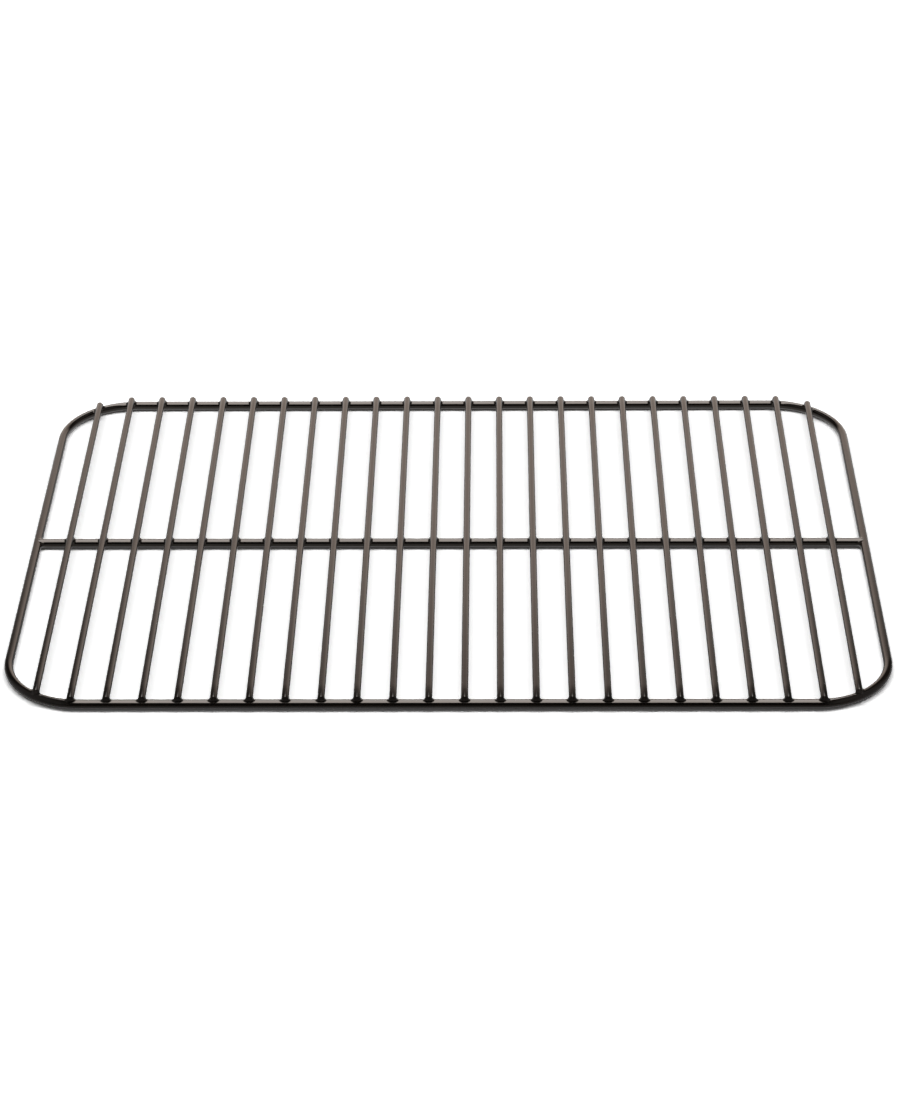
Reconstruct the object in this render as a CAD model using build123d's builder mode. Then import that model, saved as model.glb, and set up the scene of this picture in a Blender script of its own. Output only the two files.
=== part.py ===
from build123d import *
from math import sqrt
import os

# A welded wire cooking grate: one frame ring, one cross bar and a row of cooking bars.
# X runs side to side, Y front to back, Z up. The ring stands on Z = 0 and is centred on the origin.

# Driving dimensions in millimetres, over the enamel
FRAME_WIDTH = 508.0
FRAME_DEPTH = 352.0
FRAME_WIRE = 5.1
CORNER_RADIUS = 44.0
CROSS_WIRE = 5.1
CROSS_END_SEAT = 1.5
BAR_COUNT = 24
BAR_WIRE = 4.1
BAR_TIP_INSET = 1.2
BAR_TIP_ROUND = 0.6
WELD_SETDOWN = 0.8

# Sizes and places worked out from the driving dimensions
frame_radius = FRAME_WIRE / 2
cross_radius = CROSS_WIRE / 2
bar_radius = BAR_WIRE / 2
half_width = FRAME_WIDTH / 2 - frame_radius
half_depth = FRAME_DEPTH / 2 - frame_radius
bar_pitch = 2 * half_width / (BAR_COUNT + 1)
bar_z = FRAME_WIRE - WELD_SETDOWN + bar_radius
cross_z = FRAME_WIRE - cross_radius


def rail_y(x):
    """Distance from the X axis to the centreline of the front or rear rail at x, bends included."""
    past_bend = abs(x) - (half_width - CORNER_RADIUS)
    if past_bend <= 0:
        return half_depth
    return half_depth - CORNER_RADIUS + sqrt(CORNER_RADIUS**2 - past_bend**2)


# Cooking bars: straight wires, cut square with rounded rims, that end just inside the ring's outer edge
cooking_bars = []
for index in range(BAR_COUNT):
    bar_x = (index + 1) * bar_pitch - half_width
    bar_reach = rail_y(bar_x) + frame_radius - BAR_TIP_INSET
    with BuildPart() as cooking_bar:
        with BuildSketch(Plane.XZ) as bar_section:
            with Locations((bar_x, bar_z)):
                Circle(bar_radius)
        extrude(amount=bar_reach, both=True)
        tip_edges = cooking_bar.edges().filter_by(GeomType.CIRCLE)
        fillet(tip_edges, radius=BAR_TIP_ROUND)
    cooking_bar.part.label = f"cooking_bar_{index + 1:02d}"
    cooking_bars.append(cooking_bar.part)

# Cross bar: level with the ring's top, its ends sunk into both side rails, seated under every cooking bar
cross_reach = half_width - frame_radius + CROSS_END_SEAT
with BuildPart() as cross_bar:
    with BuildSketch(Plane.YZ) as cross_section:
        with Locations((0, cross_z)):
            Circle(cross_radius)
    extrude(amount=cross_reach, both=True)
    add(cooking_bars, mode=Mode.SUBTRACT)
cross_bar.part.label = "cross_bar"

# Outer frame: one wire swept round a closed rounded rectangle, with seats for the welded bars
with BuildPart() as outer_frame:
    with BuildLine(Plane.XY.offset(frame_radius)) as frame_path:
        FilletPolyline(
            (-half_width, -half_depth),
            (half_width, -half_depth),
            (half_width, half_depth),
            (-half_width, half_depth),
            radius=CORNER_RADIUS,
            close=True,
        )
    frame_wire = frame_path.wire()
    with BuildSketch(Plane(origin=frame_wire @ 0, z_dir=frame_wire % 0)) as frame_section:
        Circle(frame_radius)
    sweep(path=frame_wire)
    add(cooking_bars, mode=Mode.SUBTRACT)
    add(cross_bar.part, mode=Mode.SUBTRACT)
outer_frame.part.label = "outer_frame"

os.makedirs("parts", exist_ok=True)
export_step(outer_frame.part, "parts/outer_frame.step")
export_step(cross_bar.part, "parts/cross_bar.step")
for bar in cooking_bars:
    export_step(bar, f"parts/{bar.label}.step")
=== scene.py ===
import math

import bmesh
import bpy
import numpy as np
from mathutils import Matrix, Vector


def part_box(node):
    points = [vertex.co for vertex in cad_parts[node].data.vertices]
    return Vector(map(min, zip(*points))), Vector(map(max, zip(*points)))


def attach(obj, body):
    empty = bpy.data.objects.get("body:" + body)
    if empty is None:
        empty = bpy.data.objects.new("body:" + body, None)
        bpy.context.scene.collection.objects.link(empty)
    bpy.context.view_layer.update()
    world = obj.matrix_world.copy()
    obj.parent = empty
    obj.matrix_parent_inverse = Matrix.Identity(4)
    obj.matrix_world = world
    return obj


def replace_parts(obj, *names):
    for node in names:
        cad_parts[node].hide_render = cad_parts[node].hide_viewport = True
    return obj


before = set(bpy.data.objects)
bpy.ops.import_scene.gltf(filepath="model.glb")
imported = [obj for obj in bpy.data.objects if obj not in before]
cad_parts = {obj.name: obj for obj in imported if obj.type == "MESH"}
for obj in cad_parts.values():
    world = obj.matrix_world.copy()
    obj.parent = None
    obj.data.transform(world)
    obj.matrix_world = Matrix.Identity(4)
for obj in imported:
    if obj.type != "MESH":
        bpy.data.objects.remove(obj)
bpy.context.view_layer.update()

# Sizes of the grate in metres, over the enamel
FRAME_WIRE = 0.0051
CORNER_RADIUS = 0.044
CROSS_WIRE = 0.0051
CROSS_END_SEAT = 0.0015
BAR_WIRE = 0.0041
BAR_TIP_ROUND = 0.0006
WELD_SETDOWN = 0.0008
BAR_COUNT = 24

# Enamel pooled in the creases of the welds: at the crossings, and larger at the ends of the cross bar
FILLET_RADIUS = 0.00145
FILLET_SPREAD = 0.0002
FILLET_SEED = 7
END_FILLET_RADIUS = 0.003
# How far each bead reaches into the crease, out of sight
FILLET_ROOT = 0.0012

# Mesh resolution
FRAME_SIDES = 40
BAR_SIDES = 32
BEND_STEPS = 28
TIP_STEPS = 8
RUN_STEP = 0.012
FILLET_STEPS = 48
FILLET_ARC_STEPS = 8

# Search for the rolling ball's centre
SOLVER_ROUNDS = 40
SOLVER_STEP = 0.0005
SOLVER_CUT = 1e-6
SLOPE_STEP = 1e-6
TINY_ANGLE = 1e-4
TINY_SINE = 1e-9

# Enamel
ENAMEL_DARK = (0.0028, 0.0018, 0.0013)
ENAMEL_BROWN = (0.007, 0.004, 0.0027)
ENAMEL_IOR = 1.5
ENAMEL_TINT = (1.0, 0.9, 0.82)
GLOSS_RANGE = (0.05, 0.11)
# Scale and detail of the noise in its tone, its gloss and its orange-peel skin
TONE_NOISE = (90, 6)
TONE_ENDS = (0.35, 0.7)
GLOSS_NOISE = (240, 4)
PEEL_NOISE = (700, 3)
PEEL_STRENGTH = 0.25
PEEL_DEPTH = 0.00006

# Light that falls on the grate: an even fill, and a wide key lamp behind and above
FILL_LEVEL = 0.08
KEY_PLACE = (0.0, 0.9, 1.6)
KEY_SIZE = (5.0, 0.8)
KEY_WATTS = 79.0
# Power by which the key's light thins out with distance
KEY_FADE = 3.0

# What the enamel reflects
# A backdrop behind the grate that glows with a painted round pool of light: metres from its middle, and the
# level there
BACKDROP_PLACE = (0.03, 1.5, 0.0)
BACKDROP_HALF = 2.0
BACKDROP_TINT = (1.0, 0.86, 0.77)
BACKDROP_LEVELS = (
    (0.0, 1.75),
    (0.91, 1.68),
    (0.96, 1.63),
    (1.076, 1.08),
    (1.11, 0.94),
    (1.145, 0.92),
    (1.2, 0.6),
    (1.3, 0.2),
    (1.45, 0.0),
)
# An overhead strip light: where it begins and ends, in degrees up from the rear horizon, and its width
STRIP_LEVEL = 7.2
HALF_TURN = 180
STRIP_ENDS = ((38, 0), (45, 1), (118, 1), (126, 0))
STRIP_SIDES = ((0.17, 1), (0.21, 0))
# A dim room elsewhere, which grows paler at the sides but not behind
ROOM_LEVEL = 0.05
ROOM_SIDE_LEVEL = 0.25
ROOM_SIDES = ((0.25, 0), (0.5, 1))
ROOM_REAR = ((0.2, 1), (0.55, 0))

# White of the floor: for the camera, for bounced light, and a painted reflection by y from front to back, a
# glow that is darker at the front as painted shade
FLOOR_SEEN = 1.3
FLOOR_BOUNCE = 0.85
FLOOR_PAINTED_REFLECTION = ((-0.188, 0.06), (-0.179, 0.3), (0.0, 0.5), (0.17, 0.65))
FLOOR_PAINTED_REFLECTION_Y = (-0.2, 0.2)
FLOOR_HALF = 1.8

# Camera, solved from the photograph's 900 by 1101 pixels
CAMERA_PLACE = (0.02637, -1.59797, 0.97737)
CAMERA_PITCH = math.radians(31.53)
CAMERA_YAW = math.radians(-0.951)
CAMERA_ROLL = math.radians(0.58)
CAMERA_FOCAL_PX = 3076.0
IMAGE_HEIGHT_PX = 1101
SENSOR_MM = 36.0

# Sizes and places worked out from the frame
frame_low, frame_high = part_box("outer_frame")
frame_radius = FRAME_WIRE / 2
cross_radius = CROSS_WIRE / 2
bar_radius = BAR_WIRE / 2
half_width = (frame_high.x - frame_low.x) / 2 - frame_radius
half_depth = (frame_high.y - frame_low.y) / 2 - frame_radius
bar_z = FRAME_WIRE - WELD_SETDOWN + bar_radius
cross_z = FRAME_WIRE - cross_radius
bar_tip_flat = bar_radius - BAR_TIP_ROUND


def bar_name(index):
    return f"cooking_bar_{index + 1:02d}"


def bar_place(index):
    """The x of a cooking bar and how far it reaches from the middle, read from its node."""
    low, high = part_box(bar_name(index))
    return (low.x + high.x) / 2, (high.y - low.y) / 2


def rail_y(x):
    """Distance from the X axis to the centreline of the front or rear rail at x, bends included."""
    past_bend = abs(x) - (half_width - CORNER_RADIUS)
    if past_bend <= 0:
        return half_depth
    return half_depth - CORNER_RADIUS + math.sqrt(CORNER_RADIUS**2 - past_bend**2)


# Mesh helpers
def grid_faces(rows, columns, close_rows):
    """Quads of a grid whose columns run round and close, and whose rows close if asked."""
    faces = []
    for i in range(rows if close_rows else rows - 1):
        for j in range(columns):
            a, b = i * columns, (i + 1) % rows * columns
            k = (j + 1) % columns
            faces.append((a + j, a + k, b + k, b + j))
    return faces


def add_piece(name, points, faces, material):
    """A mesh piece that moves with the grate and shows the enamel, smooth apart from end caps."""
    mesh = bpy.data.meshes.new(name)
    mesh.from_pydata([tuple(p) for p in points], [], faces)
    shell = bmesh.new()
    shell.from_mesh(mesh)
    bmesh.ops.recalc_face_normals(shell, faces=shell.faces)
    for face in shell.faces:
        face.smooth = len(face.verts) == 4
    shell.to_mesh(mesh)
    shell.free()
    mesh.materials.append(material)
    piece = bpy.data.objects.new(name, mesh)
    bpy.context.scene.collection.objects.link(piece)
    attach(piece, "root")
    return piece


# The three kinds of wire
def ring_centreline():
    """Points and outward directions round the frame's rounded rectangle."""
    points, outward = [], []
    straight_x, straight_y = half_width - CORNER_RADIUS, half_depth - CORNER_RADIUS
    corners = ((1, -1), (1, 1), (-1, 1), (-1, -1))
    for k, (sx, sy) in enumerate(corners):
        centre = np.array((sx * straight_x, sy * straight_y, frame_radius))
        for step in range(BEND_STEPS + 1):
            turn = (k - 1 + step / BEND_STEPS) * math.pi / 2
            away = np.array((math.cos(turn), math.sin(turn), 0))
            points.append(centre + CORNER_RADIUS * away)
            outward.append(away)
        run = 2 * (straight_y if k % 2 == 0 else straight_x)
        along = np.array((-away[1], away[0], 0))
        steps = round(run / RUN_STEP)
        first = points[-1]
        for step in range(1, steps):
            points.append(first + along * run * step / steps)
            outward.append(away)
    return points, outward


def make_frame(material):
    points, outward = ring_centreline()
    up = np.array((0, 0, 1))
    turns = [2 * math.pi * j / FRAME_SIDES for j in range(FRAME_SIDES)]
    skin = [
        p + frame_radius * (math.cos(t) * out + math.sin(t) * up)
        for p, out in zip(points, outward)
        for t in turns
    ]
    faces = grid_faces(len(points), FRAME_SIDES, True)
    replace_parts(add_piece("outer_frame_enamel", skin, faces, material), "outer_frame")


def round_wire(profile, place, sides):
    """Skin and faces of a wire turned about its own axis from (distance along, radius) pairs."""
    skin = []
    for along, radius in profile:
        for j in range(sides):
            turn = 2 * math.pi * j / sides
            skin.append(place(along, radius * math.cos(turn), radius * math.sin(turn)))
    faces = grid_faces(len(profile), sides, False)
    last = (len(profile) - 1) * sides
    faces.append(tuple(range(sides)))
    faces.append(tuple(last + j for j in range(sides)))
    return skin, faces


def make_bar(index, material):
    x, reach = bar_place(index)
    arc = [math.pi / 2 * k / TIP_STEPS for k in range(TIP_STEPS + 1)]
    bend = reach - BAR_TIP_ROUND
    tip = [(bend + BAR_TIP_ROUND * math.cos(t), bar_tip_flat + BAR_TIP_ROUND * math.sin(t)) for t in arc]
    runs = round(2 * bend / RUN_STEP)
    middle = [(bend - 2 * bend * k / runs, bar_radius) for k in range(1, runs)]
    profile = tip + middle + [(-along, radius) for along, radius in reversed(tip)]
    skin, faces = round_wire(profile, lambda s, u, v: (x + u, s, bar_z + v), BAR_SIDES)
    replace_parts(add_piece(f"{bar_name(index)}_enamel", skin, faces, material), bar_name(index))


def make_cross_bar(material):
    low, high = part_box("cross_bar")
    runs = round((high.x - low.x) / RUN_STEP)
    middle = [(low.x + (high.x - low.x) * k / runs, cross_radius) for k in range(1, runs)]
    sunk = CROSS_END_SEAT / 2
    ends = [(low.x, cross_radius), (low.x + sunk, cross_radius)]
    profile = ends + middle + [(-along, radius) for along, radius in reversed(ends)]
    skin, faces = round_wire(profile, lambda s, u, v: (s, u, cross_z + v), FRAME_SIDES)
    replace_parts(add_piece("cross_bar_enamel", skin, faces, material), "cross_bar")


# Distances from points to the three kinds of wire
def frame_distance(p):
    corner = np.stack((np.abs(p[:, 0]) - half_width, np.abs(p[:, 1]) - half_depth), 1) + CORNER_RADIUS
    outside = np.linalg.norm(np.maximum(corner, 0), axis=1)
    flat = outside + np.minimum(corner.max(1), 0) - CORNER_RADIUS
    return np.hypot(flat, p[:, 2] - frame_radius) - frame_radius


def cross_distance(p):
    return np.hypot(p[:, 1], p[:, 2] - cross_z) - cross_radius


def bar_distance(x, reach):
    def distance(p):
        radial = np.hypot(p[:, 0] - x, p[:, 2] - bar_z) - bar_tip_flat
        axial = np.abs(p[:, 1]) - (reach - BAR_TIP_ROUND)
        outside = np.hypot(np.maximum(radial, 0), np.maximum(axial, 0))
        return outside + np.minimum(np.maximum(radial, axial), 0) - BAR_TIP_ROUND
    return distance


def slope(distance, p):
    """Unit direction in which a distance grows fastest."""
    parts = [distance(p + d) - distance(p - d) for d in np.eye(3) * SLOPE_STEP]
    grown = np.stack(parts, 1)
    return grown / np.linalg.norm(grown, axis=1)[:, None]


# Weld fillets: the crease between two wires, filled as a rolling ball would leave it
def fillet(first, second, centre, axes, guess, radius):
    """Rows of points and normals of a closed bead round a crossing, from the first wire to the second."""
    turns = 2 * np.pi * np.arange(FILLET_STEPS) / FILLET_STEPS
    out = np.outer(np.cos(turns), axes[0]) + np.outer(np.sin(turns), axes[1])
    reach, rise = guess(turns)
    for _ in range(SOLVER_ROUNDS):
        ball = centre + out * reach[:, None] + rise[:, None] * axes[2]
        miss = np.stack((first(ball), second(ball)), 1) - radius
        slopes = np.stack((slope(first, ball), slope(second, ball)), 1)
        jacobian = np.stack((np.einsum("nkc,nc->nk", slopes, out), slopes @ axes[2]), 2)
        step = np.einsum("nij,nj->ni", np.linalg.pinv(jacobian, rcond=SOLVER_CUT), miss)
        step = np.clip(step, -SOLVER_STEP, SOLVER_STEP)
        reach, rise = reach - step[:, 0], rise - step[:, 1]
    ball = centre + out * reach[:, None] + rise[:, None] * axes[2]
    to_first, to_second = -slope(first, ball), -slope(second, ball)
    angle = np.arccos(np.clip((to_first * to_second).sum(1), -1, 1))[:, None]
    spin = np.maximum(np.sin(angle), TINY_SINE)
    rows, normals = [], []
    for k in range(FILLET_ARC_STEPS + 1):
        share = k / FILLET_ARC_STEPS
        toward = np.sin((1 - share) * angle) * to_first + np.sin(share * angle) * to_second
        toward = np.where(angle < TINY_ANGLE, to_first, toward / spin)
        rows.append(ball + radius * toward)
        normals.append(-toward)
    inner = to_first + to_second
    inner /= np.linalg.norm(inner, axis=1)[:, None]
    rows.append(ball + (radius + FILLET_ROOT) * inner)
    normals.append(inner)
    return np.concatenate(rows), np.concatenate(normals)


def make_fillets(name, beads, material):
    """One piece of several beads, shaded by the true normals so that they run into the wires."""
    rows = FILLET_ARC_STEPS + 2
    ring = grid_faces(rows, FILLET_STEPS, True)
    size = rows * FILLET_STEPS
    faces = [tuple(k * size + v for v in quad) for k in range(len(beads)) for quad in ring]
    points = np.concatenate([bead[0] for bead in beads])
    normals = np.concatenate([bead[1] for bead in beads])
    piece = add_piece(name, points, faces, material)
    piece.data.normals_split_custom_set_from_vertices([tuple(n) for n in normals])


def crossing_guess(lower_radius, height, radius):
    """Where the ball's centre lies round a bar that crosses a wire, if both ran on for ever."""
    def guess(turns):
        side = np.cos(turns) ** 2
        rise = (lower_radius + radius) * side + (height - bar_radius - radius) * (1 - side)
        return np.full(len(turns), bar_radius + radius), rise
    return guess


def end_guess(turns):
    """Where the ball's centre lies round an end of the cross bar that butts on the ring."""
    ball = cross_radius + END_FILLET_RADIUS
    return np.full(len(turns), ball), np.abs(ball * np.cos(turns))


def make_welds(material):
    draw = np.random.default_rng(FILLET_SEED)
    upright = np.eye(3)
    rows = {"front": [], "middle": [], "rear": []}
    for index in range(BAR_COUNT):
        x, reach = bar_place(index)
        bar = bar_distance(x, reach)
        for row, y in (("front", -rail_y(x)), ("middle", 0.0), ("rear", rail_y(x))):
            radius = FILLET_RADIUS + FILLET_SPREAD * draw.uniform(-1, 1)
            lower = cross_distance if row == "middle" else frame_distance
            low_z, low_radius = (cross_z, cross_radius) if row == "middle" else (frame_radius, frame_radius)
            guess = crossing_guess(low_radius, bar_z - low_z, radius)
            centre = np.array((x, y, low_z))
            rows[row].append(fillet(bar, lower, centre, upright, guess, radius))
    for row, beads in rows.items():
        make_fillets(f"weld_fillets_{row}", beads, material)
    ends = []
    for side in (-1, 1):
        centre = np.array((side * half_width, 0, cross_z))
        axes = np.array((upright[1], upright[2], -side * upright[0]))
        ends.append(fillet(cross_distance, frame_distance, centre, axes, end_guess, END_FILLET_RADIUS))
    make_fillets("weld_fillets_cross_ends", ends, material)


# Shader helper
class Graph:
    """A short way to add and link the nodes of one shader."""

    def __init__(self, owner):
        owner.use_nodes = True
        self.nodes, self.links = owner.node_tree.nodes, owner.node_tree.links
        self.nodes.clear()

    def add(self, kind, inputs, output=0, **settings):
        node = self.nodes.new(f"ShaderNode{kind}")
        for name, value in settings.items():
            setattr(node, name, value)
        for socket, value in inputs.items():
            if isinstance(value, bpy.types.NodeSocket):
                self.links.new(value, node.inputs[socket])
            else:
                node.inputs[socket].default_value = value
        return node.outputs[output] if node.outputs else node

    def math(self, operation, first, second=0.0):
        return self.add("Math", {0: first, 1: second}, operation=operation)

    def mix(self, share, first, second):
        sockets = {"Factor": share, "A": first, "B": second}
        return self.add("Mix", sockets, "Result", data_type="RGBA")

    def ramp(self, value, stops):
        node = self.nodes.new("ShaderNodeValToRGB")
        elements = node.color_ramp.elements
        while len(elements) < len(stops):
            elements.new(1.0)
        for element, (position, colour) in zip(elements, stops):
            element.position = position
            element.color = (*colour, 1)
        self.links.new(value, node.inputs["Fac"])
        return node.outputs["Color"]


def grey(level):
    return (level, level, level)


def opaque(colour):
    return (*colour, 1)


# Materials
def make_enamel():
    """Glossy black-brown porcelain enamel with a faint orange-peel skin."""
    material = bpy.data.materials.new("enamel")
    graph = Graph(material)
    place = graph.add("TexCoord", {}, "Object")

    def noise(kind):
        scale, detail = kind
        return graph.add("TexNoise", {"Vector": place, "Scale": scale, "Detail": detail}, "Fac")

    tone = graph.ramp(noise(TONE_NOISE), list(zip(TONE_ENDS, (ENAMEL_DARK, ENAMEL_BROWN))))
    low, high = GLOSS_RANGE
    gloss = graph.add("MapRange", {"Value": noise(GLOSS_NOISE), "To Min": low, "To Max": high})
    peel = graph.add("Bump", {
        "Height": noise(PEEL_NOISE),
        "Strength": PEEL_STRENGTH,
        "Distance": PEEL_DEPTH,
    })
    shader = graph.add("BsdfPrincipled", {
        "Base Color": tone,
        "Roughness": gloss,
        "Normal": peel,
        "IOR": ENAMEL_IOR,
        "Specular Tint": opaque(ENAMEL_TINT),
    })
    graph.add("OutputMaterial", {"Surface": shader})
    return material


# Floor, light and camera
def make_floor():
    """A plain white floor that keeps the grate's shadows; in reflections it glows instead, at a painted
    level by y that is darker towards the front as painted shade.
    """
    mesh = bpy.data.meshes.new("floor")
    corners = [(x * FLOOR_HALF, y * FLOOR_HALF, 0) for x, y in ((-1, -1), (1, -1), (1, 1), (-1, 1))]
    mesh.from_pydata(corners, [], [(0, 1, 2, 3)])
    floor = bpy.data.objects.new("floor", mesh)
    bpy.context.scene.collection.objects.link(floor)
    material = bpy.data.materials.new("floor_white")
    graph = Graph(material)
    seen = graph.add("LightPath", {}, "Is Camera Ray")
    mirrored = graph.add("LightPath", {}, "Is Glossy Ray")
    place = graph.add("TexCoord", {}, "Object")
    depth = graph.add("SeparateXYZ", {0: place}, "Y")
    front, back = FLOOR_PAINTED_REFLECTION_Y
    share = graph.add("MapRange", {"Value": depth, "From Min": front, "From Max": back})
    # Painted reflection: the level by y at which the floor glows in reflections, darker at the front as
    # painted shade
    painted_reflection = graph.ramp(share, [((y - front) / (back - front), grey(v)) for y, v in FLOOR_PAINTED_REFLECTION])
    # The key's light thins out with distance from its line, and the floor stays even
    aside = graph.math("SUBTRACT", depth, KEY_PLACE[1])
    squared = graph.math("ADD", graph.math("MULTIPLY", aside, aside), KEY_PLACE[2] ** 2)
    from_key = graph.math("SQRT", squared)
    even = graph.math("POWER", graph.math("DIVIDE", from_key, math.hypot(*KEY_PLACE[1:])), KEY_FADE)
    white = graph.mix(seen, opaque(grey(FLOOR_BOUNCE)), graph.math("MULTIPLY", even, FLOOR_SEEN))
    lit = graph.add("BsdfDiffuse", {"Color": white})
    # In reflections the floor glows with this painted level in place of its lit and shaded white
    painted_reflection_glow = graph.add("Emission", {"Color": painted_reflection})
    graph.add("OutputMaterial", {"Surface": graph.add("MixShader", {0: mirrored, 1: lit, 2: painted_reflection_glow})})
    material.cycles.emission_sampling = "NONE"
    mesh.materials.append(material)


def make_backdrop():
    """A backdrop that shows only in reflections and glows with a painted round pool of light."""
    mesh = bpy.data.meshes.new("backdrop")
    corners = [(x * BACKDROP_HALF, 0, z * BACKDROP_HALF) for x, z in ((-1, 0), (1, 0), (1, 1), (-1, 1))]
    mesh.from_pydata(corners, [], [(0, 1, 2, 3)])
    backdrop = bpy.data.objects.new("backdrop", mesh)
    backdrop.location = BACKDROP_PLACE
    backdrop.visible_camera = False
    backdrop.visible_diffuse = False
    backdrop.visible_shadow = False
    bpy.context.scene.collection.objects.link(backdrop)
    material = bpy.data.materials.new("backdrop_pool")
    graph = Graph(material)
    place = graph.add("TexCoord", {}, "Object")
    away = graph.add("VectorMath", {0: place}, "Value", operation="LENGTH")
    share = graph.math("DIVIDE", away, BACKDROP_HALF)
    stops = [(p / BACKDROP_HALF, [v * c for c in BACKDROP_TINT]) for p, v in BACKDROP_LEVELS]
    # The backdrop glows: a painted pool of light, seen only in reflections
    pool = graph.add("Emission", {"Color": graph.ramp(share, stops)})
    clear = graph.add("BsdfTransparent", {})
    graph.add("OutputMaterial", {"Surface": graph.add("AddShader", {0: pool, 1: clear})})
    mesh.materials.append(material)


def make_world():
    """Faint fill, white for the camera, and a strip light in a dim room in reflections."""
    world = bpy.data.worlds.new("studio")
    bpy.context.scene.world = world
    graph = Graph(world)
    direction = graph.add("TexCoord", {}, "Generated")
    side, depth, height = (graph.add("SeparateXYZ", {0: direction}, axis) for axis in "XYZ")
    # Angle up from the rear horizon and over the top to the front, as a share of half a turn
    climb = graph.math("DIVIDE", graph.math("ARCTAN2", height, depth), math.pi)
    strip = graph.ramp(climb, [(p / HALF_TURN, grey(v)) for p, v in STRIP_ENDS])
    aside = graph.math("ABSOLUTE", side)
    narrow = graph.ramp(aside, [(p, grey(v)) for p, v in STRIP_SIDES])
    sides = graph.ramp(aside, [(p, grey(v)) for p, v in ROOM_SIDES])
    ahead = graph.ramp(depth, [(p, grey(v)) for p, v in ROOM_REAR])
    room = graph.math("MULTIPLY", graph.math("MULTIPLY", sides, ahead), ROOM_SIDE_LEVEL)
    room = graph.math("ADD", room, ROOM_LEVEL)
    strip = graph.math("MULTIPLY", graph.math("MULTIPLY", strip, narrow), STRIP_LEVEL)
    studio = graph.math("ADD", strip, room)
    mirrored = graph.add("LightPath", {}, "Is Glossy Ray")
    seen = graph.add("LightPath", {}, "Is Camera Ray")
    light = graph.mix(mirrored, opaque(grey(FILL_LEVEL)), studio)
    light = graph.mix(seen, light, opaque(grey(1)))
    graph.add("OutputWorld", {"Surface": graph.add("Background", {"Color": light})})


def make_key():
    """A large soft light above and behind, which throws the short shadows along the rails."""
    lamp = bpy.data.lights.new("key", "AREA")
    lamp.shape = "RECTANGLE"
    lamp.size, lamp.size_y = KEY_SIZE
    lamp.energy = KEY_WATTS
    key = bpy.data.objects.new("key", lamp)
    key.location = KEY_PLACE
    key.visible_camera = False
    key.visible_glossy = False
    bpy.context.scene.collection.objects.link(key)


def make_camera():
    pitch, yaw, roll = CAMERA_PITCH, CAMERA_YAW, CAMERA_ROLL
    ahead = Vector((math.sin(yaw) * math.cos(pitch), math.cos(yaw) * math.cos(pitch), -math.sin(pitch)))
    level = Vector((math.cos(yaw), -math.sin(yaw), 0))
    down = ahead.cross(level)
    right = math.cos(roll) * level + math.sin(roll) * down
    up = math.sin(roll) * level - math.cos(roll) * down
    data = bpy.data.cameras.new("camera")
    data.sensor_width = SENSOR_MM
    data.lens = CAMERA_FOCAL_PX * SENSOR_MM / IMAGE_HEIGHT_PX
    camera = bpy.data.objects.new("camera", data)
    turn = Matrix((right, up, -ahead)).transposed().to_4x4()
    camera.matrix_world = Matrix.Translation(CAMERA_PLACE) @ turn
    bpy.context.scene.collection.objects.link(camera)
    bpy.context.scene.camera = camera


enamel = make_enamel()
make_frame(enamel)
make_cross_bar(enamel)
for bar_index in range(BAR_COUNT):
    make_bar(bar_index, enamel)
make_welds(enamel)
make_floor()
make_backdrop()
make_world()
make_key()
make_camera()
bpy.context.scene.view_settings.view_transform = "Standard"
